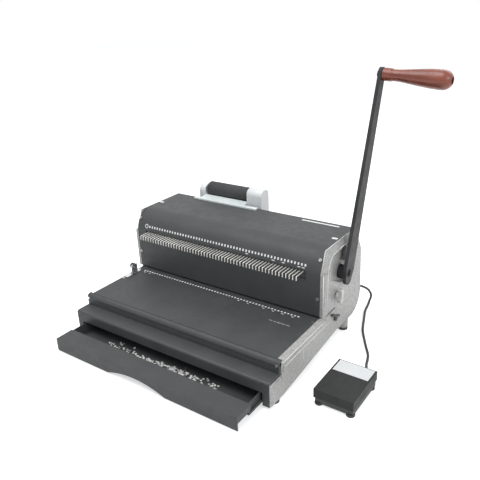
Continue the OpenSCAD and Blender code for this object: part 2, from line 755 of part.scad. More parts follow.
module pedal_base() color([0.15, 0.15, 0.15]) translate(frame_shift) difference() {
    union() {
        block(pedal_x + 1.5, pedal_x + pedal_w - 1.5, pedal_y + 3, pedal_rear - 1.5, 3, 12);
        both_posts() block(-2, 2, -3, 3, 12, 19);
    }
    block(pedal_x + 3.5, pedal_x + pedal_w - 3.5, pedal_y + 5, pedal_rear - 3.5, 5, 13);
    rod_x(2.05, pedal_x, pedal_x + pedal_w, hinge_y, hinge_z, $fn = 32);
}

module both_posts() for (x = [pedal_x + 6, pedal_x + pedal_w - 6]) translate([x, hinge_y, 0]) children();

module pedal_feet() color([0.08, 0.08, 0.08]) translate(frame_shift)
    for (x = [pedal_x + 10, pedal_x + pedal_w - 10])
        for (y = [pedal_y + 12, pedal_rear - 12])
            translate([x, y, 0]) cylinder(r = 6, h = 3);

module pedal_switch() color([0.25, 0.25, 0.25]) translate(frame_shift) difference() {
    block(pedal_mid - 10, pedal_mid + 10, plunger_y - 7, plunger_y + 7, 5, 17);
    translate([pedal_mid, plunger_y, 10]) cylinder(r = 2.05, h = 8, $fn = 32);
}

module switch_plunger() color("white") translate(frame_shift)
    translate([pedal_mid, plunger_y, 14.5]) cylinder(r = 2, h = 10, $fn = 32);

module pedal_spring() color("gainsboro") translate(frame_shift)
    translate([pedal_mid - 19, plunger_y, 0]) coil_spring(5, 24.6, 6, 0.8, 5);

// hollow treadle that tips about its rear pin
module pedal_treadle() color([0.17, 0.17, 0.17]) translate(frame_shift) {
    difference() {
        block(pedal_x, pedal_x + pedal_w, pedal_y, pedal_rear, 13, pedal_top);
        block(pedal_x + 1.2, pedal_x + pedal_w - 1.2, pedal_y + 1.2, pedal_rear - 1.2, 12, pedal_top - 3);
        block(pedal_mid - 2, pedal_mid + 18, pedal_rear - 3, pedal_rear + 1, 12, 16);
    }
    rod_x(2, pedal_x + 1, pedal_x + pedal_w - 1, hinge_y, hinge_z, $fn = 32);
}

module pedal_label() color("white") translate(frame_shift)
    block(pedal_x + 3, pedal_x + pedal_w - 3, pedal_rear - 30, pedal_rear - 2, pedal_top, pedal_top + 0.4);

left_casting();
right_casting();
left_frame_plate();
right_frame_plate();
top_cover();
rear_cover();
bed_plate();
front_ledge();
base_pan();
drawer_runners();
die_plate();
punch_guide();
guide_posts();
shaft_bushes();
rubber_feet();
cover_screws();
bed_screws();
name_strip();
drive_shaft();
drive_cams();
punch_lever();
lever_bolt();
grip_bolt();
wooden_grip();
pressure_bar();
punch_pins();
pin_carrier();
return_springs();
pull_pins();
left_pull_pins();
right_pull_pins();
chip_drawer();
depth_knob();
depth_stop();
lock_lever();
side_guide();
guide_knob();
roller_trough();
roller_bracket();
motor_housing();
roller_motor();
motor_core();
roller_shaft();
roller_sleeve();
roller_pulley();
motor_pulley();
drive_belt();
power_inlet();
switch_frame();
power_rocker();
cord_gland();
pedal_cord();
pedal_gland();
pedal_base();
pedal_feet();
pedal_switch();
switch_plunger();
pedal_spring();
pedal_treadle();
pedal_label();
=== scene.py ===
import json
import math
import random

import bmesh
import bpy
from mathutils import Matrix, Vector


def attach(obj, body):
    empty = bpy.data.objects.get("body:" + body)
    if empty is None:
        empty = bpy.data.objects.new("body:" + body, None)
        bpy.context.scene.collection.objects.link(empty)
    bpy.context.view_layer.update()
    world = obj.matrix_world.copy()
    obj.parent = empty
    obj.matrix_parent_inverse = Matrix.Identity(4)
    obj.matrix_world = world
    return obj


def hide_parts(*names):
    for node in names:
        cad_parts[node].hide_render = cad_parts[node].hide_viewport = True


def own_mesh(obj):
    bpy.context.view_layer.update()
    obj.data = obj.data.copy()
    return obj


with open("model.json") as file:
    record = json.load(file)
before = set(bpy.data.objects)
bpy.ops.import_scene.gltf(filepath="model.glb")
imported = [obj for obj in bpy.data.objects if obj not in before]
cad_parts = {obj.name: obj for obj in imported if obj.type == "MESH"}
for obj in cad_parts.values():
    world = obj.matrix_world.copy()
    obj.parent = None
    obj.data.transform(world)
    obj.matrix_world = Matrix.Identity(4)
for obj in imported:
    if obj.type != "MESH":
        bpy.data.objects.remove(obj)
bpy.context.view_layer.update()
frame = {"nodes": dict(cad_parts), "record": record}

MM = 0.001
X, Y, Z = Vector((1, 0, 0)), Vector((0, 1, 0)), Vector((0, 0, 1))

# Where the machine's own origin lies in the shared frame, in millimetres: half-way between
# the two castings, at the front of the cover and on the floor.
SHIFT = (-59.30872223972966, 22.35471025192156, 0.0)

# Sizes of the machine, in millimetres, as the CAD has them
HALF_W = 203
SKIN_X = HALF_W - 1.5
COVER_HALF = HALF_W - 7.5
COVER_TOP = 181
CORNER_R = 38
BED_TOP = 66.4
RAIL_STEP = -128
PEDAL_X, PEDAL_Y, PEDAL_W, PEDAL_LEN = 247, -118, 62.5, 86
PEDAL_MID = PEDAL_X + PEDAL_W / 2
PEDAL_REAR = PEDAL_Y + PEDAL_LEN


def P(x, y, z):
    """A point of the machine, in millimetres, as a point of the shared frame in metres."""
    return Vector((x + SHIFT[0], y + SHIFT[1], z + SHIFT[2])) * MM


# ---------------------------------------------------------------- camera
CAMERA_AT = (556.8, -715.5, 548.2)
CAMERA_YAW, CAMERA_PITCH, CAMERA_ROLL = 35.6, 23.1, -2.4
CAMERA_LENS = 42.7


def make_camera():
    yaw, pitch, roll = (math.radians(a) for a in (CAMERA_YAW, CAMERA_PITCH, CAMERA_ROLL))
    forward = Vector((-math.sin(yaw) * math.cos(pitch), math.cos(yaw) * math.cos(pitch),
                      -math.sin(pitch)))
    right = forward.cross(Z).normalized()
    up = right.cross(forward)
    side = right * math.cos(roll) + up * math.sin(roll)
    top = up * math.cos(roll) - right * math.sin(roll)
    data = bpy.data.cameras.new("camera")
    data.sensor_width = 36
    data.lens = CAMERA_LENS
    data.clip_start = 0.05
    data.clip_end = 20
    camera = bpy.data.objects.new("camera", data)
    bpy.context.scene.collection.objects.link(camera)
    at = P(*CAMERA_AT)
    camera.matrix_world = Matrix((
        (side.x, top.x, -forward.x, at.x),
        (side.y, top.y, -forward.y, at.y),
        (side.z, top.z, -forward.z, at.z),
        (0, 0, 0, 1)))
    bpy.context.scene.camera = camera


# ---------------------------------------------------------------- materials
# Most of a noise lies between these two values, so colours and gloss are spread over them.
NOISE_LOW, NOISE_HIGH = 0.3, 0.7


class Shader:
    """A node material round one Principled shader, with textures in object space."""

    def __init__(self, name, rough, metal=0.0, specular=0.5):
        self.material = bpy.data.materials.new(name)
        self.material.use_nodes = True
        self.nodes = self.material.node_tree.nodes
        self.links = self.material.node_tree.links
        self.main = self.nodes["Principled BSDF"]
        self.main.inputs["Roughness"].default_value = rough
        self.main.inputs["Metallic"].default_value = metal
        self.main.inputs["Specular IOR Level"].default_value = specular
        self.coord = self.nodes.new("ShaderNodeTexCoord")

    def mapped(self, stretch):
        node = self.nodes.new("ShaderNodeMapping")
        node.inputs["Scale"].default_value = stretch
        self.links.new(self.coord.outputs["Object"], node.inputs["Vector"])
        return node.outputs["Vector"]

    def noise(self, scale, detail, stretch=(1, 1, 1), distortion=0.0):
        node = self.nodes.new("ShaderNodeTexNoise")
        node.inputs["Scale"].default_value = scale
        node.inputs["Detail"].default_value = detail
        node.inputs["Distortion"].default_value = distortion
        self.links.new(self.mapped(stretch), node.inputs["Vector"])
        return node.outputs["Fac"]

    def ramp(self, fac, stops):
        node = self.nodes.new("ShaderNodeValToRGB")
        band = node.color_ramp
        while len(band.elements) < len(stops):
            band.elements.new(0.5)
        for element, (at, colour) in zip(band.elements, stops):
            element.position = at
            element.color = (*colour, 1)
        self.links.new(fac, node.inputs["Fac"])
        return node.outputs["Color"]

    def blend(self, fac, dark, light):
        """From the dark colour to the light one over the range of a noise."""
        return self.ramp(fac, [(NOISE_LOW, dark), (NOISE_HIGH, light)])

    def span(self, fac, low, high):
        """A number from low to high over the range of a noise."""
        node = self.nodes.new("ShaderNodeMapRange")
        node.inputs["From Min"].default_value = NOISE_LOW
        node.inputs["From Max"].default_value = NOISE_HIGH
        node.inputs["To Min"].default_value = low
        node.inputs["To Max"].default_value = high
        self.links.new(fac, node.inputs["Value"])
        return node.outputs["Result"]

    def above(self, level):
        """1 above a height in metres, and 0 below it."""
        split = self.nodes.new("ShaderNodeSeparateXYZ")
        self.links.new(self.coord.outputs["Object"], split.inputs["Vector"])
        step = self.nodes.new("ShaderNodeMath")
        step.operation = "GREATER_THAN"
        step.inputs[1].default_value = level
        self.links.new(split.outputs["Z"], step.inputs[0])
        return step.outputs["Value"]

    def mix(self, fac, first, second):
        node = self.nodes.new("ShaderNodeMix")
        node.data_type = "RGBA"
        self.links.new(fac, node.inputs["Factor"])
        self.links.new(first, node.inputs["A"])
        self.links.new(second, node.inputs["B"])
        return node.outputs["Result"]

    def colour(self, output):
        self.links.new(output, self.main.inputs["Base Color"])

    def roughness(self, output):
        self.links.new(output, self.main.inputs["Roughness"])

    def bump(self, output, strength, distance):
        """Adds a relief on top of any that is there already."""
        node = self.nodes.new("ShaderNodeBump")
        node.inputs["Strength"].default_value = strength
        node.inputs["Distance"].default_value = distance
        self.links.new(output, node.inputs["Height"])
        if self.main.inputs["Normal"].is_linked:
            before = self.main.inputs["Normal"].links[0].from_socket
            self.links.new(before, node.inputs["Normal"])
        self.links.new(node.outputs["Normal"], self.main.inputs["Normal"])


def paint(name, dark, light, rough, grain, metal=0.0, strength=0.1, distance=0.0001, specular=0.5):
    """Textured paint, print or moulded plastic: cloudy colour, uneven gloss and a fine grain."""
    s = Shader(name, rough, metal, specular)
    s.colour(s.blend(s.noise(22, 4), dark, light))
    s.roughness(s.span(s.noise(90, 3), rough - 0.06, rough + 0.08))
    s.bump(s.noise(grain, 2), strength, distance)
    return s.material


def brushed(name, dark, light, rough, stretch):
    """Bare or plated metal with fine lines; stretch says how they run."""
    s = Shader(name, rough, metal=1.0)
    lines = s.noise(60, 3, stretch)
    s.colour(s.blend(lines, dark, light))
    s.roughness(s.span(lines, rough - 0.07, rough + 0.07))
    s.bump(lines, 0.15, 0.00008)
    return s.material


def hammered(name, dark, light, rough):
    """Hammer-finish paint: a speckle of 2 to 3 mm in its colour and in its surface."""
    s = Shader(name, rough, metal=0.2)
    speckle = s.noise(340, 2)
    s.colour(s.blend(speckle, dark, light))
    s.roughness(s.span(s.noise(90, 3), rough - 0.06, rough + 0.08))
    s.bump(speckle, 0.3, 0.0004)
    s.bump(s.noise(900, 2), 0.2, 0.0002)
    return s.material


def painted_light_by_height(name, level, low, high, rough):
    """Plated screws with painted light: a painted shade below a height in metres and a painted highlight
    above it; low and high are a dark and a light colour each."""
    s = Shader(name, rough, metal=0.9)
    lines = s.noise(300, 3)
    s.colour(s.mix(s.above(level), s.blend(lines, *low), s.blend(lines, *high)))
    s.roughness(s.span(lines, rough - 0.05, rough + 0.1))
    s.bump(lines, 0.15, 0.00008)
    return s.material


def wood(name):
    """Stained and thinly lacquered wood, with its grain along X."""
    s = Shader(name, 0.36)
    grain = s.noise(34, 6, stretch=(0.22, 3.2, 3.2), distortion=1.1)
    s.colour(s.ramp(grain, [(0.28, (0.085, 0.016, 0.009)), (0.45, (0.175, 0.038, 0.020)),
                            (0.56, (0.25, 0.062, 0.034)), (0.72, (0.135, 0.027, 0.014))]))
    s.roughness(s.span(s.noise(60, 3), 0.24, 0.42))
    s.bump(grain, 0.2, 0.00015)
    s.main.inputs["Coat Weight"].default_value = 0.12
    s.main.inputs["Coat Roughness"].default_value = 0.22
    return s.material


# One material for each material slot of the record
MATERIALS = {
    "silver_paint": hammered("silver_paint", (0.28, 0.28, 0.27), (0.46, 0.46, 0.445), rough=0.45),
    "black_paint": paint("black_paint", (0.050, 0.053, 0.054), (0.062, 0.065, 0.066), rough=0.5,
                         grain=1500, strength=0.3, distance=0.00015, specular=0.36),
    "zinc_plate": brushed("zinc_plate", (0.40, 0.41, 0.42), (0.55, 0.56, 0.57), rough=0.38,
                          stretch=(1, 6, 1)),
    "tool_steel": brushed("tool_steel", (0.28, 0.29, 0.31), (0.42, 0.43, 0.45), rough=0.36,
                          stretch=(0.3, 8, 8)),
    "bright_chrome": brushed("bright_chrome", (0.74, 0.75, 0.76), (0.9, 0.91, 0.92), rough=0.2,
                             stretch=(4, 4, 4)),
    "bronze": brushed("bronze", (0.45, 0.3, 0.12), (0.62, 0.43, 0.2), rough=0.4,
                      stretch=(4, 4, 4)),
    "black_rubber": paint("black_rubber", (0.026, 0.027, 0.028), (0.04, 0.041, 0.042), rough=0.62,
                          grain=1100, strength=0.3, distance=0.00015),
    "lever_paint": paint("lever_paint", (0.027, 0.027, 0.028), (0.045, 0.045, 0.047), rough=0.5,
                         grain=700, strength=0.5, distance=0.0003, specular=0.22),
    "red_wood": wood("red_wood"),
    "black_plastic": paint("black_plastic", (0.036, 0.037, 0.036), (0.05, 0.051, 0.049), rough=0.55,
                           grain=1300, strength=0.35, distance=0.0002),
    "grey_plastic": paint("grey_plastic", (0.66, 0.68, 0.68), (0.76, 0.78, 0.78), rough=0.4,
                          grain=1000, strength=0.12),
    "pale_plastic": paint("pale_plastic", (0.66, 0.72, 0.71), (0.76, 0.80, 0.79), rough=0.42,
                          grain=1000, strength=0.12),
}

# Finishes of single pieces inside a slot
PIN_WHITE = paint("pin_white", (0.62, 0.61, 0.57), (0.8, 0.79, 0.75), rough=0.25, grain=600,
                  metal=0.35)
PRINT_WHITE = paint("print_white", (0.72, 0.73, 0.72), (0.85, 0.86, 0.85), rough=0.5, grain=900,
                    distance=0.00005)
PRINT_FAINT = paint("print_faint", (0.3, 0.31, 0.31), (0.42, 0.43, 0.43), rough=0.5, grain=900,
                    distance=0.00005)
PAPER = paint("paper", (0.46, 0.455, 0.44), (0.74, 0.73, 0.71), rough=0.8, grain=500,
              strength=0.3, specular=0.2)
# A near-black for the screws' cross recesses, as painted shade in them
RECESS_SHADE = paint("recess", (0.05, 0.05, 0.05), (0.09, 0.09, 0.09), rough=0.6, grain=900,
               strength=0.2)
# A bright silver for thin lines along the casting's edges, as painted highlights
EDGE_HIGHLIGHT_SILVER = paint("edge_highlight_silver", (0.66, 0.66, 0.64), (0.82, 0.82, 0.80), rough=0.35, grain=700,
                    metal=0.1, strength=0.15)
KNOB_GREY = paint("knob_grey", (0.50, 0.50, 0.48), (0.60, 0.60, 0.58), rough=0.38, grain=900,
                  metal=0.1, strength=0.15)
PEDAL_BLACK = paint("pedal_black", (0.022, 0.023, 0.022), (0.032, 0.033, 0.032), rough=0.58,
                    grain=1300, strength=0.35, distance=0.0002, specular=0.22)
LABEL_WHITE = paint("label_white", (0.60, 0.61, 0.61), (0.68, 0.69, 0.69), rough=0.5, grain=900,
                    distance=0.00005)
# The cover's screws: a painted shade on those below the cover's top and a painted highlight on those
# above it
COVER_SCREWS_PAINTED_LIGHT = painted_light_by_height("cover_chrome_painted_light", (COVER_TOP - 0.5) * MM,
                            ((0.30, 0.30, 0.30), (0.48, 0.48, 0.48)),
                            ((0.8, 0.8, 0.8), (0.92, 0.92, 0.92)), rough=0.35)

NODE_FINISH = {
    "pull_pins": PIN_WHITE, "left_pull_pins": PIN_WHITE, "right_pull_pins": PIN_WHITE,
    "depth_knob": KNOB_GREY, "name_strip": PRINT_WHITE, "pedal_label": LABEL_WHITE,
    "pedal_treadle": PEDAL_BLACK, "cover_screws": COVER_SCREWS_PAINTED_LIGHT}


def dress_nodes():
    for row in frame["record"]["subparts"]:
        node = frame["nodes"][row["node"]]
        node.data.materials.clear()
        node.data.materials.append(MATERIALS[row["material_slot"]])
    for name, material in NODE_FINISH.items():
        frame["nodes"][name].data.materials[0] = material


# ---------------------------------------------------------------- rounded edges
# Width of the rounding on nodes that are cast, pressed or moulded, in millimetres
SOFT_EDGES = {
    "left_casting": 0.7, "right_casting": 0.7, "punch_lever": 0.9, "pedal_treadle": 1.4,
    "pedal_base": 0.8, "motor_housing": 1.2, "roller_bracket": 1.0, "chip_drawer": 0.4,
    "front_ledge": 0.4, "depth_knob": 0.7, "lock_lever": 0.5, "guide_knob": 0.6,
    "roller_trough": 0.5, "power_rocker": 0.6}
WELD_GAP = 0.000005  # metres
SHARP_ANGLE = 28  # degrees


def soften(name, width):
    """Rounds the hard edges of a carried-over node, as a real pressing or casting has them."""
    node = frame["nodes"][name]
    weld = node.modifiers.new("weld", "WELD")
    weld.merge_threshold = WELD_GAP
    bevel = node.modifiers.new("edge", "BEVEL")
    bevel.width = width * MM
    bevel.segments = 2
    bevel.limit_method = "ANGLE"
    bevel.angle_limit = math.radians(SHARP_ANGLE)
    bevel.use_clamp_overlap = True
    bevel.harden_normals = False


# ---------------------------------------------------------------- making pieces
def finish_piece(name, bm, body, material, smooth=False):
    """Turns a mesh under construction into a piece that rides on a body."""
    bmesh.ops.recalc_face_normals(bm, faces=bm.faces)
    for face in bm.faces:
        face.smooth = smooth
    mesh = bpy.data.meshes.new(name)
    bm.to_mesh(mesh)
    bm.free()
    obj = bpy.data.objects.new(name, mesh)
    bpy.context.scene.collection.objects.link(obj)
    obj.data.materials.append(material)
    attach(obj, body)
    return obj


def join(bm, rings, closed=False):
    """Skins a row of rings of vertices: capped at both ends, or end to start where closed."""
    count = len(rings[0])
    pairs = list(zip(rings, rings[1:]))
    if closed:
        pairs.append((rings[-1], rings[0]))
    for a, b in pairs:
        for k in range(count):
            bm.faces.new((a[k], a[(k + 1) % count], b[(k + 1) % count], b[k]))
    if not closed:
        bm.faces.new(list(reversed(rings[0])))
        bm.faces.new(rings[-1])


def rounded(width, height, radius, steps=4):
    """Outline of a rounded rectangle, in millimetres."""
    out = []
    for sx, sy, start in ((1, 1, 0), (-1, 1, 90), (-1, -1, 180), (1, -1, 270)):
        for k in range(steps + 1):
            a = math.radians(start + 90 * k / steps)
            out.append((sx * (width / 2 - radius) + radius * math.cos(a),
                        sy * (height / 2 - radius) + radius * math.sin(a)))
    return out


def disc(radius, steps):
    """Outline of a circle, in millimetres."""
    return [(radius * math.cos(2 * math.pi * k / steps), radius * math.sin(2 * math.pi * k / steps))
            for k in range(steps)]


def pad(bm, centre, along, up, outline, height, sink=0.15):
    """A thin pad with the given outline, sunk a little into a surface; lengths in millimetres."""
    along, up = along.normalized(), up.normalized()
    out = along.cross(up).normalized()
    rings = []
    for depth, inset in ((-sink, 1.0), (height * 0.6, 1.0), (height, 0.93)):
        rings.append([bm.verts.new(centre + (along * u * inset + up * v * inset + out * depth) * MM)
                      for u, v in outline])
    join(bm, rings)


def bead(bm, start, end, radius=0.55, sides=8):
    """A thin raised line along an edge; its radius is in millimetres."""
    along = (end - start).normalized()
    side = along.cross(X if abs(along.x) < 0.9 else Z).normalized()
    other = along.cross(side)
    rings = []
    for at in (start, end):
        rings.append([bm.verts.new(at + (side * math.cos(2 * math.pi * k / sides)
                                         + other * math.sin(2 * math.pi * k / sides)) * radius * MM)
                      for k in range(sides)])
    join(bm, rings)


def coil(bm, foot, height, coil_r):
    """A compression spring of five turns standing on foot; all lengths in millimetres."""
    wire_r, turns, per_turn, sides = 0.8, 5, 20, 8
    rings = []
    steps = turns * per_turn
    for i in range(steps + 1):
        a = 2 * math.pi * i / per_turn
        out = Vector((math.cos(a), math.sin(a), 0))
        middle = Vector(foot) + out * coil_r + Z * (wire_r + (height - 2 * wire_r) * i / steps)
        rings.append([])
        for k in range(sides):
            b = 2 * math.pi * k / sides
            rings[-1].append(bm.verts.new(P(*(middle + (out * math.cos(b) + Z * math.sin(b)) * wire_r))))
    join(bm, rings)


# ---------------------------------------------------------------- printed marks
PIN_PITCH = 6.2865
PIN_COUNT = 54
INK, BED_INK, FAINT_INK = 0.12, 0.1, 0.08

# Each outline is a width, a height and a corner radius.
COVER_MARK = (2.9, 4.4, 1.2)
COVER_MARKS_X, COVER_MARKS_Z = 1.5, 154.8
UNDERLINE = (5.4, 1.5, 0.6)
UNDERLINES_X = (57, 109, 128, 157, 165)
UNDERLINE_DROP = 4.6
RING_DOT = (1.7, 1.7, 0.6)
RING_X, RING_R, RING_DOTS = -173, 3.4, 10

BED_MARK = (3.4, 3.2, 1.0)
BED_MARKS_X, BED_MARKS_Y = -6.5, -11.8
BED_DASH = (4.6, 1.3, 0.5)
BED_DASHES_X = (-172, -160, 48, 67, 99, 118, 136, 155)
BED_DASHES_Y = -17.2
BED_LINE_Y = -44
BED_LINE = ((130, 7), (138, 5), (145, 6), (153, 8), (162, 7))


def on_cover(x, z):
    """A point on the front curve of the cover, with the direction up along the curve."""
    rise = z - (COVER_TOP - CORNER_R)
    if rise <= 0:
        return P(x, 0, z), Z
    angle = math.asin(rise / CORNER_R)
    return (P(x, CORNER_R * (1 - math.cos(angle)), z),
            Vector((0, math.sin(angle), math.cos(angle))))


def mark_x(i, count, middle):
    return middle + (i - (count - 1) / 2) * PIN_PITCH


def make_cover_marks():
    """A mark above each pull pin, a few underlines and a ring of dots at the left end."""
    bm = bmesh.new()
    for i in range(PIN_COUNT):
        at, up = on_cover(mark_x(i, PIN_COUNT, COVER_MARKS_X), COVER_MARKS_Z)
        pad(bm, at, X, up, rounded(*COVER_MARK), INK)
    for x in UNDERLINES_X:
        at, up = on_cover(x, COVER_MARKS_Z - UNDERLINE_DROP)
        pad(bm, at, X, up, rounded(*UNDERLINE), INK)
    for k in range(RING_DOTS):
        a = 2 * math.pi * k / RING_DOTS
        at, up = on_cover(RING_X + RING_R * math.cos(a), COVER_MARKS_Z + RING_R * math.sin(a))
        pad(bm, at, X, up, rounded(*RING_DOT), INK)
    finish_piece("pin_marks", bm, "machine", PRINT_WHITE)


def make_bed_marks():
    bm = bmesh.new()
    for i in range(PIN_COUNT + 1):
        x = mark_x(i, PIN_COUNT + 1, BED_MARKS_X)
        pad(bm, P(x, BED_MARKS_Y, BED_TOP), X, Y, rounded(*BED_MARK), BED_INK)
    for x in BED_DASHES_X:
        pad(bm, P(x, BED_DASHES_Y, BED_TOP), X, Y, rounded(*BED_DASH), BED_INK)
    finish_piece("bed_marks", bm, "machine", PRINT_WHITE)


def make_bed_line():
    """A faint row of dashes on the right of the bed."""
    bm = bmesh.new()
    for x, width in BED_LINE:
        pad(bm, P(x, BED_LINE_Y, BED_TOP), X, Y, rounded(width, 1.6, 0.5), FAINT_INK)
    finish_piece("bed_line", bm, "machine", PRINT_FAINT)


# ---------------------------------------------------------------- painted highlights on cast edges
RAIL_TOP, RAIL_REAR = 59, 44
LOW_LINE_Z, LOW_LINE_REAR = RAIL_TOP - 7, 52
SEAM_X, SEAM_Y, SEAM_FOOT, SEAM_TOP = HALF_W - 0.2, -66, 29, 48
FLANGE_X, FLANGE_REAR_Y = HALF_W - 2, 12
FLANGE_FOOT, FLANGE_TOP = 70.5, 143.5
PANEL_INNER_X, PANEL_OUTER_X = 195.9, 201.8
PANEL_RIM = ((0.2, 144), (15, 180.8), (96, 180.8))
PANEL_FACE = ((13, 80), (13, 141), (19, 156), (29, 168), (54, 170), (92, 172))
BROAD_HIGHLIGHT = 0.7


def make_edge_highlights():
    """Painted highlights along the right casting: thin raised lines in bright silver on its rail, a
    seam, the front flange and the panel's bevel.
    """
    bm = bmesh.new()
    bead(bm, P(SKIN_X, RAIL_STEP - 1, RAIL_TOP), P(SKIN_X, RAIL_REAR, RAIL_TOP))
    bead(bm, P(HALF_W, RAIL_STEP + 5, LOW_LINE_Z), P(HALF_W, LOW_LINE_REAR, LOW_LINE_Z))
    bead(bm, P(SEAM_X, SEAM_Y, SEAM_FOOT), P(SEAM_X, SEAM_Y, SEAM_TOP), BROAD_HIGHLIGHT)
    bead(bm, P(FLANGE_X, 0, FLANGE_FOOT), P(FLANGE_X, 0, FLANGE_TOP), BROAD_HIGHLIGHT)
    bead(bm, P(HALF_W, FLANGE_REAR_Y, FLANGE_FOOT), P(HALF_W, FLANGE_REAR_Y, FLANGE_TOP))
    for x, outline in ((PANEL_INNER_X, PANEL_RIM), (PANEL_OUTER_X, PANEL_FACE)):
        for (y0, z0), (y1, z1) in zip(outline, outline[1:]):
            bead(bm, P(x, y0, z0), P(x, y1, z1))
    finish_piece("casting_edge_highlights", bm, "machine", EDGE_HIGHLIGHT_SILVER, True)


# ---------------------------------------------------------------- pedal feet
FOOT_INSET, REAR_FOOT_INSET = 6.5, 9
FOOT_SIDES = 28
FOOT_PROFILE = ((0, 5.8), (0.8, 6.6), (3.2, 6.6), (4.0, 6.0))


def make_pedal_feet():
    """Rubber pads at the pedal's corners; each step of their profile is a height and a radius."""
    bm = bmesh.new()
    for x in (PEDAL_X + FOOT_INSET, PEDAL_X + PEDAL_W - FOOT_INSET):
        for y in (PEDAL_Y + FOOT_INSET, PEDAL_REAR - REAR_FOOT_INSET):
            join(bm, [[bm.verts.new(P(x + u, y + v, z)) for u, v in disc(radius, FOOT_SIDES)]
                      for z, radius in FOOT_PROFILE])
    feet = finish_piece("pedal_pads", bm, "machine", MATERIALS["black_rubber"])
    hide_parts("pedal_feet")


# ---------------------------------------------------------------- screws
SCREW_X = COVER_HALF - 4
LOW_SCREW_Y, LOW_SCREW_Z = -1.4, 101
CURVE_SCREW_TILT, CURVE_SCREW_RISE = 38, 1.8
BED_SCREW_X, BED_SCREWS_Y, BED_SCREW_RISE = 189.5, (-57, -13), 0.8
LIP_SCREW_X, LIP_SCREW_Y, LIP_SCREW_DROP = 197.9, -138, 7
CROSS_SIZE, LIP_CROSS_SIZE = 3.2, 2.6


def cross(bm, centre, along, up, size):
    """Painted shade for a cross recess: two dark bars on a screw's head."""
    bar, corner = size * 0.22, size * 0.1
    pad(bm, centre, along, up, rounded(size, bar, corner, 2), 0.06, 0.4)
    pad(bm, centre, along, up, rounded(bar, size, corner, 2), 0.06, 0.4)


# Painted shade in the cross recesses of the screw heads
def make_recess_shades():
    bm = bmesh.new()
    tilt = math.radians(CURVE_SCREW_TILT)
    out = Vector((0, -math.cos(tilt), math.sin(tilt)))
    up = Vector((0, math.sin(tilt), math.cos(tilt)))
    for side in (-1, 1):
        cross(bm, P(side * SCREW_X, LOW_SCREW_Y, LOW_SCREW_Z), X, Z, CROSS_SIZE)
        middle = P(side * SCREW_X, CORNER_R, COVER_TOP - CORNER_R)
        cross(bm, middle + out * (CORNER_R + CURVE_SCREW_RISE) * MM, X, up, CROSS_SIZE)
        for y in BED_SCREWS_Y:
            cross(bm, P(side * BED_SCREW_X, y, BED_TOP + BED_SCREW_RISE), X, Y, CROSS_SIZE)
        cross(bm, P(side * LIP_SCREW_X, LIP_SCREW_Y, BED_TOP - LIP_SCREW_DROP), X, Z, LIP_CROSS_SIZE)
    finish_piece("screw_recess_shades", bm, "machine", RECESS_SHADE)


# ---------------------------------------------------------------- roller tread
ROLLER_Y, ROLLER_Z = 150, COVER_TOP + 14.5
ROLLER_LEFT, ROLLER_RIGHT = -130, -32
TREAD_LEFT, TREAD_LENGTH, TREAD_STEPS = -128, 94, 12
TREAD_R, RIB_HEIGHT = 13.6, 0.4
RIBS, STEPS_PER_RIB = 30, 6
BORE_R, SHOULDER_R, EDGE_R = 3.0, 12.2, 13.0


def make_tread():
    """The rubber roller with ribs along it, smooth at both ends and open for its shaft."""
    stations = [(ROLLER_LEFT, BORE_R), (ROLLER_LEFT, SHOULDER_R), (ROLLER_LEFT + 0.7, EDGE_R)]
    stations += [(TREAD_LEFT + TREAD_LENGTH * k / TREAD_STEPS, TREAD_R) for k in range(TREAD_STEPS + 1)]
    stations += [(ROLLER_RIGHT - 0.7, EDGE_R), (ROLLER_RIGHT, SHOULDER_R), (ROLLER_RIGHT, BORE_R)]
    bm = bmesh.new()
    rings = []
    for x, base in stations:
        ring = []
        for k in range(RIBS * STEPS_PER_RIB):
            a = 2 * math.pi * k / (RIBS * STEPS_PER_RIB)
            wave = max(0.0, math.sin(2 * math.pi * k / STEPS_PER_RIB))
            r = base + (RIB_HEIGHT * wave if base == TREAD_R else 0)
            ring.append(bm.verts.new(P(x, ROLLER_Y + r * math.cos(a), ROLLER_Z + r * math.sin(a))))
        rings.append(ring)
    join(bm, rings, closed=True)
    tread = finish_piece("roller_tread", bm, "roller", MATERIALS["black_rubber"], True)
    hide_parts("roller_sleeve")


# ---------------------------------------------------------------- paper chips
TRAY_FLOOR = 5.5
CHIP_R = 1.95
CHIP_SEED = 11
CHIPS_Y, CHIPS_FRONT, CHIPS_BACK = -171, -187, -154
LOOSE_CHIPS, LOOSE_LEFT, LOOSE_RIGHT, LOOSE_SPREAD = 80, -122, 106, 6.5
HEAPED_CHIPS, HEAP_X, HEAP_SPREAD_X, HEAP_SPREAD_Y = 170, 8, 42, 5.2
HEAP_LEFT, HEAP_RIGHT = -125, 118
HEAP_RISE, HEAP_REACH_X, HEAP_REACH_Y = 3.5, 80, 10


def add_chip(bm, rng, x, y, z):
    """One round chip, tilted and turned at random, and lifted so that it rests about on z."""
    tilt_x, tilt_y = rng.uniform(-0.5, 0.5), rng.uniform(-0.5, 0.5)
    turn = rng.uniform(0, math.pi)
    basis = (Matrix.Rotation(tilt_x, 3, "X") @ Matrix.Rotation(tilt_y, 3, "Y")
             @ Matrix.Rotation(turn, 3, "Z"))
    lift = 2.0 * math.sin(max(abs(tilt_x), abs(tilt_y))) + 0.2
    pad(bm, P(x, y, z + lift), basis @ X, basis @ Y, disc(CHIP_R, 10), 0.1, 0.02)


def held(value, low, high):
    return min(max(value, low), high)


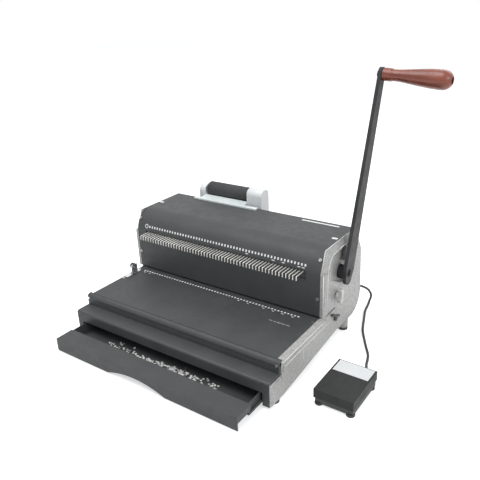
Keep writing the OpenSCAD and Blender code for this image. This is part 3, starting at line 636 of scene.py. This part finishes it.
def make_chips():
    """Punched chips in the tray: some scattered along it, and a low heap in the middle."""
    rng = random.Random(CHIP_SEED)
    bm = bmesh.new()
    for _ in range(LOOSE_CHIPS):
        x = rng.uniform(LOOSE_LEFT, LOOSE_RIGHT)
        y = CHIPS_Y + LOOSE_SPREAD * rng.gauss(0, 1)
        add_chip(bm, rng, x, held(y, CHIPS_FRONT, CHIPS_BACK), TRAY_FLOOR)
    for _ in range(HEAPED_CHIPS):
        x = rng.gauss(HEAP_X, HEAP_SPREAD_X)
        near = max(0.0, 1 - abs(x - HEAP_X) / HEAP_REACH_X)
        y = CHIPS_Y + HEAP_SPREAD_Y * rng.gauss(0, 1)
        heap = HEAP_RISE * near * max(0.0, 1 - abs(y - CHIPS_Y) / HEAP_REACH_Y)
        add_chip(bm, rng, held(x, HEAP_LEFT, HEAP_RIGHT), held(y, CHIPS_FRONT, CHIPS_BACK),
                 TRAY_FLOOR + rng.uniform(0, heap))
    finish_piece("paper_chips", bm, "drawer", PAPER)


# ---------------------------------------------------------------- springs
POST_X, POST_Y = 180, 24
SPRING_FOOT, SPRING_HEIGHT, SPRING_R = 84, 20, 5.5
PEDAL_SPRING = (PEDAL_MID - 19, -82, 5)
PEDAL_SPRING_HEIGHT, PEDAL_SPRING_R, PEDAL_SPRING_KEEP = 19.6, 6, 0.79


def make_springs():
    """The springs again, as coil pieces with meshes of their own."""
    slots = {row["node"]: row["material_slot"] for row in frame["record"]["subparts"]}
    bm = bmesh.new()
    for side in (-1, 1):
        coil(bm, (side * POST_X, POST_Y, SPRING_FOOT), SPRING_HEIGHT, SPRING_R)
    slot = slots["return_springs"]
    springs = finish_piece("bar_springs", bm, "machine", MATERIALS[slot], True)
    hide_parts("return_springs")
    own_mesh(springs)

    bm = bmesh.new()
    coil(bm, PEDAL_SPRING, PEDAL_SPRING_HEIGHT, PEDAL_SPRING_R)
    slot = slots["pedal_spring"]
    spring = finish_piece("treadle_spring", bm, "machine", MATERIALS[slot], True)
    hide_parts("pedal_spring")
    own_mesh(spring)


# ---------------------------------------------------------------- pedal cord
# The route repeats the CAD's points, in the machine's millimetres.
CORD_R = 2.2
CORD_X, CORD_Z = 184, 48
CORD_ROUTE = [
    (CORD_X, 164, CORD_Z), (CORD_X + 3, 174, 46), (CORD_X + 10, 184, 40), (200, 193, 31), (203, 199, 18),
    (200, 199, 6), (202, 188, 2.4), (206, 166, 2.4), (212, 148, 2.4), (218, 131, 2.4),
    (229, 101, 2.4), (242, 77, 2.4), (256, 53, 2.4), (268, 33, 2.4), (PEDAL_MID - 2, 6, 4),
    (PEDAL_MID + 6, PEDAL_REAR + 20, 7), (PEDAL_MID + 8, PEDAL_REAR + 8, 8)]


def smooth_route(points, steps):
    """A smooth line through the given points, in metres."""
    out = []
    n = len(points)
    for i in range(n - 1):
        a, b, c, d = (Vector(points[k]) for k in (max(i - 1, 0), i, i + 1, min(i + 2, n - 1)))
        for k in range(steps):
            t = k / steps
            out.append(0.5 * ((2 * b) + (c - a) * t + (2 * a - 5 * b + 4 * c - d) * t * t
                              + (3 * b - 3 * c + d - a) * t * t * t))
    out.append(Vector(points[-1]))
    return [P(*p) for p in out]


def make_cord():
    points = smooth_route(CORD_ROUTE, 2)
    curve = bpy.data.curves.new("pedal_lead", "CURVE")
    curve.dimensions = "3D"
    curve.bevel_depth = CORD_R * MM
    curve.bevel_resolution = 4
    curve.resolution_u = 6
    spline = curve.splines.new("POLY")
    spline.points.add(len(points) - 1)
    for p, co in zip(spline.points, points):
        p.co = (co.x, co.y, co.z, 1)
    spline.use_smooth = True
    obj = bpy.data.objects.new("pedal_lead", curve)
    bpy.context.scene.collection.objects.link(obj)
    obj.data.materials.append(MATERIALS["black_rubber"])
    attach(obj, "machine")
    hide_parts("pedal_cord")


# ---------------------------------------------------------------- floor, backdrop and light
SKY_COLOUR, SKY_STRENGTH = (0.93, 0.96, 1.0, 1), 0.55
WHITE = (1, 1, 1, 1)
FLOOR_HALF = 6
FLOOR_SEEN, FLOOR_BOUNCE = (0.86, 0.86, 0.86, 1), (0.55, 0.55, 0.55, 1)
FLOOR_GLOW = 0.55
# Place, aim and size in metres, and power in watts
LAMPS = {
    "key": ((-0.4, -0.5, 2.1), (0.0, 0.0, 0.1), (1.4, 1.4), 28),
    "fill": ((2.2, -0.4, 1.3), (0.1, 0.0, 0.1), (1.6, 1.2), 22),
    "back": ((0.4, 1.8, 1.7), (0.0, 0.0, 0.2), (1.6, 1.0), 14)}


def background_rays(nodes, links):
    """1 for the rays that show the background: camera, glossy and transmission rays."""
    path = nodes.new("ShaderNodeLightPath")
    first = nodes.new("ShaderNodeMath")
    first.operation = "MAXIMUM"
    links.new(path.outputs["Is Camera Ray"], first.inputs[0])
    links.new(path.outputs["Is Glossy Ray"], first.inputs[1])
    second = nodes.new("ShaderNodeMath")
    second.operation = "MAXIMUM"
    links.new(first.outputs[0], second.inputs[0])
    links.new(path.outputs["Is Transmission Ray"], second.inputs[1])
    return second.outputs[0]


def make_world():
    """Soft light from all round, and plain white where the background shows."""
    world = bpy.data.worlds.new("studio")
    bpy.context.scene.world = world
    world.use_nodes = True
    nodes, links = world.node_tree.nodes, world.node_tree.links
    nodes.clear()
    out = nodes.new("ShaderNodeOutputWorld")
    mix = nodes.new("ShaderNodeMixShader")
    light = nodes.new("ShaderNodeBackground")
    light.inputs["Color"].default_value = SKY_COLOUR
    light.inputs["Strength"].default_value = SKY_STRENGTH
    white = nodes.new("ShaderNodeBackground")
    white.inputs["Color"].default_value = WHITE
    white.inputs["Strength"].default_value = 1.0
    links.new(background_rays(nodes, links), mix.inputs["Fac"])
    links.new(light.outputs[0], mix.inputs[1])
    links.new(white.outputs[0], mix.inputs[2])
    links.new(mix.outputs[0], out.inputs["Surface"])


def make_floor():
    """A floor that shows white with the machine's shadow, and reflects less light on to it."""
    mesh = bpy.data.meshes.new("floor")
    s = FLOOR_HALF
    mesh.from_pydata([(-s, -s, 0), (s, -s, 0), (s, s, 0), (-s, s, 0)], [], [(0, 1, 2, 3)])
    obj = bpy.data.objects.new("floor", mesh)
    bpy.context.scene.collection.objects.link(obj)
    mat = bpy.data.materials.new("floor")
    mat.use_nodes = True
    nodes, links = mat.node_tree.nodes, mat.node_tree.links
    nodes.clear()
    out = nodes.new("ShaderNodeOutputMaterial")
    seen = nodes.new("ShaderNodeBsdfDiffuse")
    seen.inputs["Color"].default_value = FLOOR_SEEN
    bounce = nodes.new("ShaderNodeBsdfDiffuse")
    bounce.inputs["Color"].default_value = FLOOR_BOUNCE
    glow = nodes.new("ShaderNodeEmission")
    glow.inputs["Color"].default_value = WHITE
    glow.inputs["Strength"].default_value = FLOOR_GLOW
    add = nodes.new("ShaderNodeAddShader")
    mix = nodes.new("ShaderNodeMixShader")
    links.new(background_rays(nodes, links), mix.inputs["Fac"])
    links.new(bounce.outputs[0], mix.inputs[1])
    links.new(seen.outputs[0], add.inputs[0])
    links.new(glow.outputs[0], add.inputs[1])
    links.new(add.outputs[0], mix.inputs[2])
    links.new(mix.outputs[0], out.inputs["Surface"])
    obj.data.materials.append(mat)


def area_light(name, at, look, size, power):
    data = bpy.data.lights.new(name, "AREA")
    data.shape = "RECTANGLE"
    data.size, data.size_y = size
    data.energy = power
    obj = bpy.data.objects.new(name, data)
    bpy.context.scene.collection.objects.link(obj)
    obj.location = at
    direction = Vector(look) - Vector(at)
    obj.rotation_euler = direction.to_track_quat("-Z", "Y").to_euler()


# ---------------------------------------------------------------- the scene
make_camera()
dress_nodes()
for name, width in SOFT_EDGES.items():
    soften(name, width)
make_cover_marks()
make_bed_marks()
make_bed_line()
make_springs()
make_edge_highlights()
make_pedal_feet()
make_recess_shades()
make_tread()
make_chips()
make_cord()
make_world()
make_floor()
for name, lamp in LAMPS.items():
    area_light(name, *lamp)

bpy.context.scene.view_settings.view_transform = "Standard"
